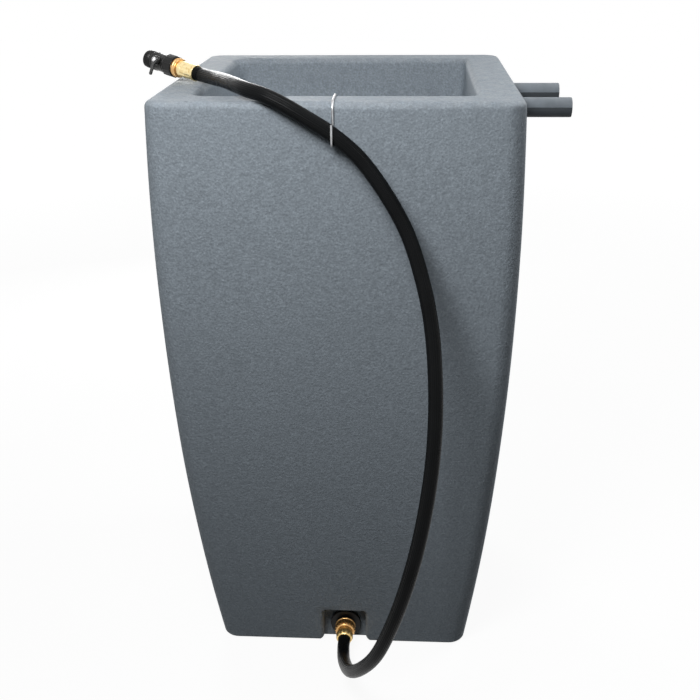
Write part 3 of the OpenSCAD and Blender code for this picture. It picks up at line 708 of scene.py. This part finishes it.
def tank_skin(inset, rows, flats, wave=0.0):
    """A closed solid through the tank's rings. Its walls waver a little, as moulded walls do."""
    corner_steps = 10
    points, count = [], 4 * (corner_steps + flats)
    rings = tank_rings(inset, rows)
    for half, corner, z in rings:
        ring, middle = [], half - corner
        for q in range(4):
            sx, sy = (1, -1, -1, 1)[q], (1, 1, -1, -1)[q]
            for i in range(corner_steps):
                a = math.pi / 2 * (q + i / (corner_steps - 1))
                ring.append((sx * middle + corner * math.cos(a), sy * middle + corner * math.sin(a)))
            ex, ey = ring[-1]
            nx, ny = (sx * middle if q % 2 else -sx * middle), (-sy * middle if q % 2 else sy * middle)
            a = math.pi / 2 * (q + 1)
            fx, fy = nx + corner * math.cos(a), ny + corner * math.sin(a)
            for i in range(1, flats + 1):
                t = i / (flats + 1)
                ring.append((ex + (fx - ex) * t, ey + (fy - ey) * t))
        points += [(x * MM, y * MM, z * MM) for x, y in ring]
    if wave:
        for i, (x, y, z) in enumerate(points):
            if z < 0.03 or z > 0.9:
                continue
            push = wave * MM * noise.noise(Vector((x, y, z)) * 7)
            reach = math.hypot(x, y)
            points[i] = (x * (1 + push / reach), y * (1 + push / reach), z)
    faces = ring_faces(len(rings), count)
    last = (len(rings) - 1) * count
    for start in (0, last):
        centre = len(points)
        points.append((0, 0, points[start][2]))
        faces += [(start + k, start + (k + 1) % count, centre) for k in range(count)]
    return plain_mesh(points, faces)


def notch_outline(grow, top_grow=None):
    """The notch's outline as (x, z) in millimetres, round the top corners, from below the ground up."""
    top_grow = grow if top_grow is None else top_grow
    w, h, r = NOTCH_HALF_W + grow, NOTCH_H + top_grow, NOTCH_R + top_grow
    flare = [(-5 - grow, NOTCH_FLARE_W)]
    for i in range(8):
        flare.append((NOTCH_FLARE_H * i / 7, NOTCH_FLARE_W * (1 - math.sqrt(1 - (1 - i / 7) ** 2))))
    outline = [(NOTCH_X - w - out, z) for z, out in flare]
    for side, start in ((-1, math.pi), (1, math.pi / 2)):
        for i in range(9):
            a = start - math.pi / 2 * i / 8
            outline.append((NOTCH_X + side * (w - r) + r * math.cos(a), h - r + r * math.sin(a)))
    outline += [(NOTCH_X + w + out, z) for z, out in reversed(flare)]
    return outline


def notch_cutter(grow, edge_r, top_r=0.0):
    """The notch's room. Where it meets the tank's face it flares, so that the mouth has a rounded edge."""
    rings = [[(x, NOTCH_BACK_Y + grow, z) for x, z in notch_outline(grow)]]
    flare = rise = 0.0
    if edge_r:
        for i in range(11):
            a = math.radians(82) * i / 10
            flare, rise = edge_r * (1 - math.cos(a)), top_r * (1 - math.cos(a))
            depth = edge_r * (1 - math.sin(a))
            rings.append([(x, -(half_w(max(z, 0)) - depth), z) for x, z in notch_outline(flare, rise)])
        flare, rise = flare + 1.5, rise + 1.0
        rings.append([(x, -half_w(max(z, 0)) - 8, z) for x, z in notch_outline(flare, rise)])
    rings.append([(x, -330, z) for x, z in notch_outline(grow + flare, grow + rise)])
    points = [(x * MM, y * MM, z * MM) for ring in rings for x, y, z in ring]
    return plain_mesh(points, ring_faces(len(rings), len(rings[0]), capped=True))


def bore(radius, low, high, place):
    return turned([(0, low), (radius, low), (radius, high), (0, high)], place, 64, closed=False)


def make_tank():
    room = cut_away(tank_skin(WALL, 30, 8), notch_cutter(WALL, 0))
    holes = [notch_cutter(0, 7.0, 3.0), bore(SCREEN_HOLE_R, 780, 800, Matrix()), bore(OUTLET_HOLE_R, -7, 3, OUTLET)]
    for side in (-1, 1):
        holes.append(bore(OVERFLOW_HOLE_R, -8, 8, overflow_place(side)))
    shell = cut_away(tank_skin(0, 72, 20, 0.5), room, *holes)
    return settle("tank", shell, "stone", "tank", ["barrel_shell"], 30)


# ---- Hose ----

HOSE_ROUTE = [
    (5, -262, 30), (9, -302, 39), (22, -362, 72), (42, -405, 115), (64, -435, 165),
    (84, -451, 225), (103, -455, 290), (119, -447, 355), (131, -430, 420), (138, -410, 480),
    (140, -386, 540), (137, -360, 600), (130, -338, 650), (117, -318, 700), (98, -300, 750),
    (69, -285, 798), (36, -275, 840), (0, -270, 870), (-34, -268, 891), (-63, -264, 907),
    (-90, -256, 918), (-115, -236, 922), (-136, -201, 923), (-156, -160, 922), (-176, -123, 920)]
HOSE_START, LOWER_MOUTH, HOSE_TUCK, HOSE_LEAD = (5, -222.6, 30), (5, -240.6, 30), 22, 14
HOSE_R, HOSE_GROOVE, HOSE_SIDES, HOSE_BORE_R, HOSE_BORE_DEPTH = 10.0, 0.24, 48, 7, 16


def smooth_line(points, steps):
    """Catmull-Rom points through the given ones."""
    p = [Vector(q) for q in points]
    out = []
    for i in range(len(p) - 1):
        a, b, c, d = p[max(i - 1, 0)], p[i], p[i + 1], p[min(i + 2, len(p) - 1)]
        for s in range(steps):
            t = s / steps
            out.append(b + 0.5 * t * (c - a + t * (2 * a - 5 * b + 4 * c - d + t * (3 * (b - c) + d - a))))
    return out + [p[-1]]


def swept(line, radius_at, sides, bore_r=0, depth=0, uv=None):
    """A tube along a line, with an even turn and no twist. radius_at(k) is the radius at each side's corner."""
    count, side, rings = len(line), Vector((1, 0, 0)), []
    for i, p in enumerate(line):
        ahead = (line[min(i + 1, count - 1)] - line[max(i - 1, 0)]).normalized()
        side = (side - side.dot(ahead) * ahead).normalized()
        rings.append((p, side.copy(), ahead.cross(side), ahead))
    points, order, lengths = [], [], []

    def ring(at, radius):
        p, s, u, _ = at
        order.append(len(points))
        for k in range(sides):
            a = 2 * math.pi * k / sides
            r = radius(k) if callable(radius) else radius
            points.append((p + r * (math.cos(a) * s + math.sin(a) * u)) * MM)

    run = 0.0
    if bore_r:
        p, s, u, ahead = rings[0]
        ring((p + ahead * depth, s, u, ahead), bore_r)
        ring(rings[0], bore_r)
        lengths += [0, 0]
    for i, at in enumerate(rings):
        run += (line[i] - line[i - 1]).length * MM if i else 0
        ring(at, radius_at)
        lengths.append(run)
    if bore_r:
        p, s, u, ahead = rings[-1]
        ring(rings[-1], bore_r)
        ring((p - ahead * depth, s, u, ahead), bore_r)
        lengths += [run, run]
    faces, spans = [], []
    for j in range(len(order) - 1):
        for k in range(sides):
            m = (k + 1) % sides
            faces.append((order[j] + k, order[j] + m, order[j + 1] + m, order[j + 1] + k))
            spans.append((j, k))
    faces += [tuple(range(order[0] + sides - 1, order[0] - 1, -1)), tuple(range(order[-1], order[-1] + sides))]
    mesh = bpy.data.meshes.new("piece")
    mesh.from_pydata([tuple(p) for p in points], [], faces)
    if uv:
        layer = mesh.uv_layers.new(name=uv)
        girth = 2 * math.pi * radius_at(0) * MM
        for face, (j, k) in zip(mesh.polygons, spans):
            for loop, (dj, dk) in zip(face.loop_indices, ((0, 0), (0, 1), (1, 1), (1, 0))):
                layer.data[loop].uv = (girth * (k + dk) / sides, lengths[j + dj])
    form = bmesh.new()
    form.from_mesh(mesh)
    bmesh.ops.recalc_face_normals(form, faces=form.faces)
    form.to_mesh(mesh)
    form.free()
    return mesh


def make_hose():
    lead = [HOSE_END - HOSE_LEAD * VALVE_DIR, HOSE_END, HOSE_END + HOSE_TUCK * VALVE_DIR]
    line = smooth_line([HOSE_START, LOWER_MOUTH, *HOSE_ROUTE, *lead], 9)
    mesh = swept(
        line, lambda k: HOSE_R - (HOSE_GROOVE if k % 2 else 0), HOSE_SIDES, HOSE_BORE_R, HOSE_BORE_DEPTH, "along_hose")
    hose = settle("hose_run", mesh, "hose", "tank", ["hose"], 60)
    path = [tuple(p * MM) for p in line]
    length = sum((a - b).length for a, b in zip(line, line[1:])) * MM
    return hose, path, length


def make_hook():
    """One bent wire: a leg in the basin, over the rim, down the face and round under the hose."""
    wire_r, bend, cradle, gap, leg, cradle_z = 1.5, 11.8, 12.3, 0.3, 22, 866
    top = BARREL_H + wire_r + gap
    inner_y = -round((BASIN_TOP - leg * math.tan(BASIN_DRAFT) - wire_r - gap) * 10) / 10
    face_y = -round((half_w(cradle_z) + wire_r + gap) * 10) / 10
    line = [Vector((0, inner_y, top - bend - leg)), Vector((0, inner_y, top - bend - leg / 2))]

    def turn(y, z, r, start, sweep, steps=12):
        for i in range(steps + 1):
            a = math.radians(start + sweep * i / steps)
            line.append(Vector((0, y + r * math.cos(a), z + r * math.sin(a))))

    turn(inner_y - bend, top - bend, bend, 0, 90)
    turn(face_y + bend, top - bend, bend, 90, 90)
    line.append(Vector((0, face_y, cradle_z + 19)))
    turn(face_y - cradle, cradle_z, cradle, 0, -180, 20)
    for rise in (9, 18):
        line.append(Vector((0, face_y - 2 * cradle, cradle_z + rise)))
    mesh = swept(line, lambda k: wire_r, 16)
    return settle("wire_hook", mesh, "wire", "tank", ["hose_hook"], 60)


# ---- Fittings ----

THREAD_PITCH = 2.2
BALL_R, BALL_AT, BALL_DENTS, DENT_DEPTH = 14.2, 40.4, 12, 1.3


def crimped(radius, height, angle, lobes, low, high, press):
    """A radius pressed in between lobes, over the middle of a ferrule."""
    inside = max(0.0, min(1.0, (height - low) / 2)) * max(0.0, min(1.0, (high - height) / 2))
    return radius - press * inside * (0.5 + 0.5 * math.cos(lobes * angle)) ** 3


def threaded(place, start, radius, turns, ridge):
    """A screw thread round the place's axis, from the start. Sizes in millimetres."""
    thread = grown(SCREW_THREAD, {
        "Radius": radius * MM, "Pitch": THREAD_PITCH * MM, "Turns": turns, "Ridge": ridge * MM})
    thread.transform(place @ Matrix.Translation((0, 0, start * MM)))
    return thread


def ribbed(place, count, radius, start, length, thickness):
    """Grip ribs round the place's axis. Sizes in millimetres."""
    ribs = grown(GRIP_RIBS, {
        "Count": count, "Radius": radius * MM, "Start": start * MM, "Length": length * MM,
        "Thickness": thickness * MM})
    ribs.transform(place)
    return ribs


def make_lower_fittings():
    flange = turned(eased([
        (8.5, -23), (13, -23), (13, 2), (25, 2), (25, 8), (13.4, 8), (12.4, 9.5), (12.4, 22), (11.6, 23),
        (8.5, 23)], 0.8), OUTLET)
    thread = threaded(OUTLET, 10, 12.3, 5.0, 0.95)
    settle("outlet_fitting", joined(flange, thread), "black", "tank", ["outlet_body"])
    nut = turned(eased([
        (13.5, 12.3), (16.4, 12.3), (16.9, 13.2), (16.9, 15.0), (15.9, 15.8), (15.9, 17.4), (16.6, 18.2),
        (16.8, 21), (16.4, 24.5), (16.0, 26.8), (15.2, 29.0), (13.6, 30.3), (8.8, 30.3), (8.8, 27.8),
        (13.5, 27.8)], 0.7), OUTLET, 96)
    grips = ribbed(OUTLET, 18, 15.6, 18.4, 8.4, 2.6)
    settle("swivel_nut", joined(nut, grips), "nut_brass", "coupling_nut", ["lower_coupling_nut"])
    arc = [(math.sqrt(BALL_R ** 2 - h * h), BALL_AT + h) for h in np.linspace(-6.6, 8.6, 20)]

    def dented(r, h, a):
        if r < 11:
            return r
        return r - DENT_DEPTH * (0.5 + 0.5 * math.cos(BALL_DENTS * a)) ** 2 * math.exp(-((h - 41.6) / 4.4) ** 2)

    ball = turned(
        eased([(10.2, 49.0), *reversed(arc), (12.8, 31.1), (10.2, 31.1)], 0.3), OUTLET, 120, shape=dented)
    settle("ball_ferrule", ball, "brass", "tank", ["lower_ferrule"], 50)


def make_upper_fittings():
    sleeve = eased([(10.1, 0), (11.6, 0), (11.6, 1.2), (11.3, 1.8), (11.3, 30), (11.4, 32), (10.1, 32)], 0.3)
    dense = []
    for (r0, h0), (r1, h1) in zip(sleeve, sleeve[1:] + sleeve[:1]):
        steps = max(1, int(abs(h1 - h0) / 1.0))
        dense += [(r0 + (r1 - r0) * t / steps, h0 + (h1 - h0) * t / steps) for t in range(steps)]
    ferrule = turned(dense, VALVE, 120, shape=lambda r, h, a: crimped(r, h, a, 8, 4, 27, 0.8) if r > 11 else r)
    settle("crimp_ferrule", ferrule, "pale_brass", "tank", ["upper_ferrule"], 50)
    ring = eased([
        (5.2, 1), (6.7, 1), (6.7, 22), (10.5, 22), (10.5, 33), (13.7, 33), (13.95, 34), (13.95, 35.6), (13.4, 36),
        (13.4, 37), (13.95, 37.4), (13.95, 39.2), (13.5, 40), (12.4, 40), (12.4, 51), (11.8, 52), (5.2, 52)], 0.4)
    core = turned(ring, VALVE, 96)
    thread = threaded(VALVE, 41.2, 12.3, 4.5, 0.85)
    settle("end_ring", joined(core, thread), "ring_brass", "tank", ["upper_coupling"])


def make_valve():
    collar = turned(eased([
        (13.5, 41.3), (14.9, 41.3), (15.4, 42.4), (15.4, 57.4), (14.5, 59.3), (8.8, 59.3), (8.8, 56.8),
        (13.5, 56.8)], 0.6), VALVE, 96)
    ribs = ribbed(VALVE, 10, 14.4, 41.9, 15.8, 3.0)
    settle("swivel_collar", joined(collar, ribs), "valve", "swivel_collar", ["valve_collar"])
    bore_r = 4.5
    profile = eased([
        (bore_r, 54.5), (12.2, 54.5), (12.2, 56.5), (8.5, 56.5), (8.5, 59.6), (12.6, 59.6), (13.5, 60.8), (13.5, 64.0),
        (12.9, 64.8), (12.9, 78.6), (13.5, 79.6), (13.5, 85.6), (13.1, 86.6), (12.1, 87.2), (12.1, 100.2),
        (11.4, 101.6), (7.5, 101.6), (7.0, 100.6), (7.0, 92), (bore_r, 89)], 0.5)
    shell = turned(profile, VALVE, 96)
    across = VALVE @ Matrix.Translation((0, 0, BOSS_AT * MM)) @ Matrix.Rotation(math.pi / 2, 4, "Y")
    boss = turned(eased([
        (3.4, 9.5), (7, 9.5), (7, 15.9), (6.4, 16.5), (5.2, 16.5), (5.2, 14.5), (3.4, 14.5)], 0.4), across, 64)
    thread = threaded(VALVE, 88.6, 12.1, 5.2, 1.05)
    settle("valve_shell", joined(shell, boss, thread), "valve", "tank", ["valve_body"])
    make_lever(across)


def make_lever(across):
    """The hub and arm in one outline, raised along the arm's middle."""
    outline, hub, tip, arm, reach = [], 6, 2.25, 2.25, 20.75
    for i in range(33):
        a = math.radians(-50 + 280 * i / 32)
        outline.append((hub * math.cos(a), hub * math.sin(a)))
    outline += [(-arm - 0.2, -7.2), (-arm, -9.5), (-arm, -14)]
    for i in range(13):
        a = math.pi + math.pi * i / 12
        outline.append((tip * math.cos(a), -reach + tip * math.sin(a)))
    outline += [(arm, -14), (arm, -9.5), (arm + 0.2, -7.2)]
    levels = [(16.8, 0.86), (17.1, 1.0), (19.1, 1.0), (19.6, 0.93), (19.8, 0.8)]
    points = []
    for z, size in levels:
        for x, y in outline:
            d = Vector((x, y))
            shrink = (1 - size) * 2.4
            centre = Vector((0, max(min(y, 0), -reach)))
            away = d - centre
            d -= away.normalized() * min(shrink, away.length * 0.5)
            points.append((d.x * MM, d.y * MM, z * MM))
    faces = ring_faces(len(levels), len(outline), capped=True)
    solid = cut_away(plain_mesh(points, faces), bore(3.05, 16, 21, Matrix()))
    solid.transform(across)
    settle("lever_arm", solid, "lever", "lever", ["valve_lever"], 40)
    dome = eased([(0, 19.8), (3.5, 19.8), (3.5, 20.7), (2.4, 21.7), (0, 21.8)], 0.5, closed=False)
    head = turned(dome, Matrix(), 48, closed=False)
    arms, slot_x, slot_y = [], 2.1, 0.45
    slot_outline = ((-slot_x, -slot_y), (slot_x, -slot_y), (slot_x, slot_y), (-slot_x, slot_y))
    for turn in (0, math.pi / 2):
        slot_points = [(x, y, z) for z in (20.7, 23) for x, y in slot_outline]
        cutter = plain_mesh([(x * MM, y * MM, z * MM) for x, y, z in slot_points],
                            [(3, 2, 1, 0), (4, 5, 6, 7), (0, 1, 5, 4), (1, 2, 6, 5), (2, 3, 7, 6), (3, 0, 4, 7)])
        cutter.transform(Matrix.Rotation(turn + 0.4, 4, "Z"))
        arms.append(cutter)
    head = cut_away(head, *arms)
    head.transform(across)
    settle("lever_cross_screw", head, "steel", "lever", ["lever_screw"])


# ---- Overflows and inlet screen ----

def make_overflows():
    step, step_angle, stop_end = 0.45, math.radians(97), 6.7
    far = OVERFLOW_END_X - half_w(OVERFLOW_Z)

    def stepped(r, h, a):
        """The part that shows is a little thinner in its lower half."""
        low = math.cos(a) > math.cos(step_angle)
        return r - step if 14 < r < 15 and h > stop_end and low else r

    for name, side in (("front", -1), ("rear", 1)):
        at = overflow_place(side)
        profile = eased([
            (12, -23), (14.5, -23), (14.5, 3.7), (16.7, 3.7), (16.7, stop_end), (14.5, stop_end),
            (14.5, far - 0.8), (14.1, far), (12.4, far), (12, far - 0.6)], 0.5)
        pipe = turned(profile, at, 144, shape=stepped)
        settle("drain_pipe_" + name, pipe, "pipe", "tank", ["overflow_pipe_" + name])
        lip = turned(eased([
            (14.65, -8.4), (20.8, -8.4), (20.8, -5.9), (16.65, -5.9), (16.65, 0.9), (20.8, 0.9), (20.8, 3.4),
            (14.65, 3.4)], 1.0), at, 72)
        settle("rubber_collar_" + name, lip, "rubber", "tank", ["overflow_grommet_" + name])


def make_screen():
    mesh_r, pitch, wire_r, height = 71.2, 3.0, 0.2, 793.7
    weave = grown(WOVEN_WIRE, {"Radius": mesh_r * MM, "Pitch": pitch * MM, "Wire": wire_r * MM})
    weave.transform(Matrix.Translation((0, 0, height * MM)))
    settle("woven_screen", weave, "wire", "inlet_screen", ["inlet_screen_mesh"], 60)


KEPT_NODES = {
    "inlet_screen_frame": "black", "outlet_gasket": "rubber", "outlet_locknut": "black", "lower_hose_washer": "rubber",
    "lower_coupling_tail": "brass", "upper_hose_washer": "rubber", "valve_ball": "steel", "valve_seat_inner": "seat",
    "valve_seat_outer": "seat", "valve_stem": "steel", "valve_stem_seal": "rubber"}


def finish_kept_nodes():
    for name, finish in KEPT_NODES.items():
        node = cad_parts[name]
        if not node.material_slots:
            node.data.materials.append(finishes[finish])
        for socket in node.material_slots:
            socket.material = finishes[finish]


place_camera()
light_room()
lay_floor()
hose, hose_path, hose_length = make_hose()
make_tank()
make_hook()
make_lower_fittings()
make_upper_fittings()
make_valve()
make_overflows()
make_screen()
finish_kept_nodes()
